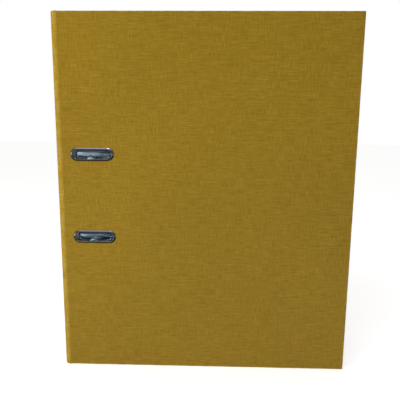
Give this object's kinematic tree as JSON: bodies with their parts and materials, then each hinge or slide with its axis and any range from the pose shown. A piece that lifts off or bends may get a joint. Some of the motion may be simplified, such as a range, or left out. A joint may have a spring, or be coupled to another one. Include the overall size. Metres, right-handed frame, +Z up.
{
  "type": "lever arch file",
  "caption": "Linen-paper covered lever arch file with chrome slot eyelets, a riveted steel arch mechanism with posts, lever and compressor bar, and folding paper hinges.",
  "frame": {"origin": "centre of the whole file's box, on the surface it stands on", "axes": "+Z up along the spine, -Y out of the front panel, -X out of the spine, +X towards the fore edge"},
  "size_m": [0.2838, 0.0798, 0.343],
  "materials": {
    "linen_paper": "matte embossed linen weave",
    "greyboard": "raw grey board",
    "lining_paper": "smooth matte paper",
    "label_paper": "smooth matte paper",
    "chrome_steel": "bright chrome plate",
    "nickel_steel": "nickel plate",
    "spring_steel": "drawn wire",
    "black_plastic": "moulded satin"
  },
  "bodies": {
    "back_cover": {"back_board": "greyboard", "back_wrap": "linen_paper", "back_lining": "lining_paper", "base_plate": "nickel_steel", "base_rivet_1": "nickel_steel", "base_rivet_2": "nickel_steel", "base_rivet_3": "nickel_steel", "base_rivet_4": "nickel_steel", "upper_post": "chrome_steel", "lower_post": "chrome_steel", "lever_pivot_pin": "nickel_steel", "arch_spring": "spring_steel"},
    "spine": {"spine_board": "greyboard", "spine_wrap": "linen_paper", "spine_lining": "lining_paper", "spine_label": "label_paper", "finger_ring": "chrome_steel", "finger_ring_washer": "nickel_steel", "front_hinge_strip": "linen_paper", "back_hinge_strip": "linen_paper"},
    "front_cover": {"front_board": "greyboard", "front_wrap": "linen_paper", "front_lining": "lining_paper", "upper_slot_eyelet": "chrome_steel", "lower_slot_eyelet": "chrome_steel", "upper_slot_washer": "nickel_steel", "lower_slot_washer": "nickel_steel"},
    "arches": {"arch_wire": "chrome_steel"},
    "lever": {"lever": "nickel_steel", "lever_grip": "black_plastic", "roller_axle": "nickel_steel"},
    "roller": {"lever_roller": "nickel_steel"},
    "compressor": {"compressor_bar": "nickel_steel", "compressor_catch_pin": "nickel_steel"},
    "compressor_catch": {"compressor_catch": "nickel_steel"}
  },
  "joints": [
    {"name": "spine_hinge", "type": "hinge", "parent": "back_cover", "child": "spine", "pos_m": [-0.13955, 0.0375, 0.1715], "axis": [0, 0, -1], "range_deg": [0, 90], "deforming": ["back_hinge_strip"]},
    {"name": "front_cover_hinge", "type": "hinge", "parent": "spine", "child": "front_cover", "pos_m": [-0.13955, -0.0375, 0.1715], "axis": [0, 0, -1], "range_deg": [0, 180], "deforming": ["front_hinge_strip"]},
    {"name": "arch_hinge", "type": "hinge", "parent": "back_cover", "child": "arches", "pos_m": [-0.12115, 0.0312, 0.1746], "axis": [0, 0, -1], "range_deg": [0, 55], "deforming": ["arch_spring"]},
    {"name": "lever_hinge", "type": "hinge", "parent": "back_cover", "child": "lever", "pos_m": [-0.10765, 0.0237, 0.1596], "axis": [1, 0, 0], "range_deg": [0, 60]},
    {"name": "roller_spin", "type": "hinge", "parent": "lever", "child": "roller", "pos_m": [-0.10765, 0.0237, 0.1756], "axis": [1, 0, 0], "continuous": true},
    {"name": "compressor_slide", "type": "slide", "parent": "back_cover", "child": "compressor", "axis": [0, -1, 0], "range_m": [0, 0.038]},
    {"name": "catch_hinge", "type": "hinge", "parent": "compressor", "child": "compressor_catch", "pos_m": [-0.09505, 0.025, 0.1746], "axis": [0, 0, -1], "range_deg": [0, 70]}
  ],
  "couplings": [
    {"joint": "arch_hinge", "follows": "spine_hinge", "ratio": 0.6111},
    {"joint": "lever_hinge", "follows": "spine_hinge", "ratio": 0.6666}
  ]
}
